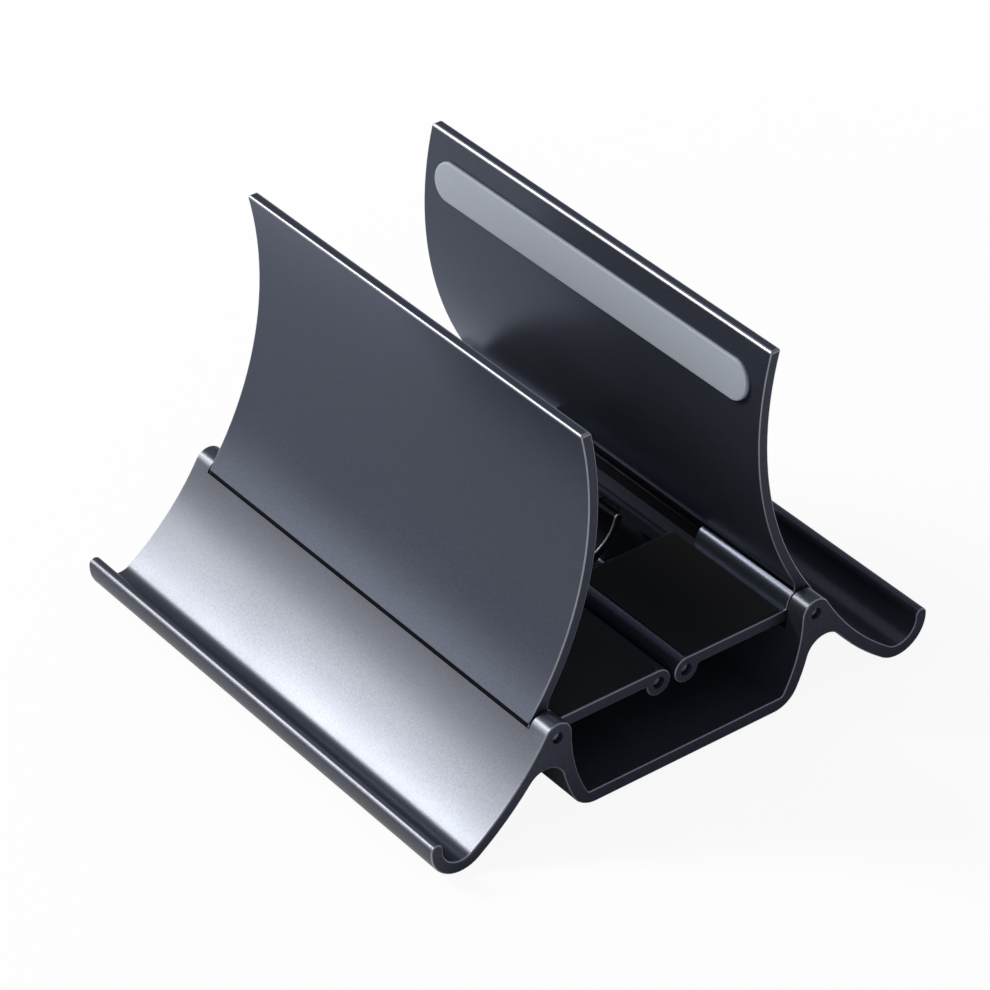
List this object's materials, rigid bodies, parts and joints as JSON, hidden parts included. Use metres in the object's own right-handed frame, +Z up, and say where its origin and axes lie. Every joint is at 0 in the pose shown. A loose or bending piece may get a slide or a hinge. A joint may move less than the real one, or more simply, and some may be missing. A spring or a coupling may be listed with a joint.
{
  "type": "vertical laptop stand",
  "caption": "Vertical laptop stand: an extruded base with a tray on each side and two hinged curved clamps that close as a laptop presses on their flaps.",
  "frame": {"origin": "on the ground, under the middle of the base", "axes": "+Z up, +Y to the back along the extrusion, +X to the right across the clamps"},
  "size_m": [0.1406, 0.13, 0.095],
  "materials": {
    "anodised_aluminium": "satin, fine sand-blasted",
    "steel": "ground",
    "grey_silicone": "matt",
    "black_silicone": "matt",
    "nylon": "matt"
  },
  "bodies": {
    "base": {"base": "anodised_aluminium", "left_hinge_pin": "steel", "left_foot_strip": "black_silicone", "left_return_spring": "steel", "right_hinge_pin": "steel", "right_foot_strip": "black_silicone", "right_return_spring": "steel"},
    "left_arm": {"left_clamp": "anodised_aluminium", "left_stop_cradle": "anodised_aluminium", "left_curl_rod": "steel", "left_front_bush": "nylon", "left_rear_bush": "nylon", "left_wing_pad": "grey_silicone", "left_front_flap_sheet": "black_silicone", "left_rear_flap_sheet": "black_silicone"},
    "right_arm": {"right_clamp": "anodised_aluminium", "right_stop_cradle": "anodised_aluminium", "right_curl_rod": "steel", "right_front_bush": "nylon", "right_rear_bush": "nylon", "right_wing_pad": "grey_silicone", "right_front_flap_sheet": "black_silicone", "right_rear_flap_sheet": "black_silicone"}
  },
  "joints": [
    {"name": "left_clamp_hinge", "type": "hinge", "parent": "base", "child": "left_arm", "pos_m": [-0.0364, 0, 0.0239], "axis": [0, 1, 0], "range_deg": [0, 19], "stiffness_Nm_per_rad": 0.05, "springref_deg": -22.92, "deforming": ["left_return_spring"]},
    {"name": "right_clamp_hinge", "type": "hinge", "parent": "base", "child": "right_arm", "pos_m": [0.0364, 0, 0.0239], "axis": [0, -1, 0], "range_deg": [0, 19], "stiffness_Nm_per_rad": 0.05, "springref_deg": -22.92, "deforming": ["right_return_spring"]}
  ]
}
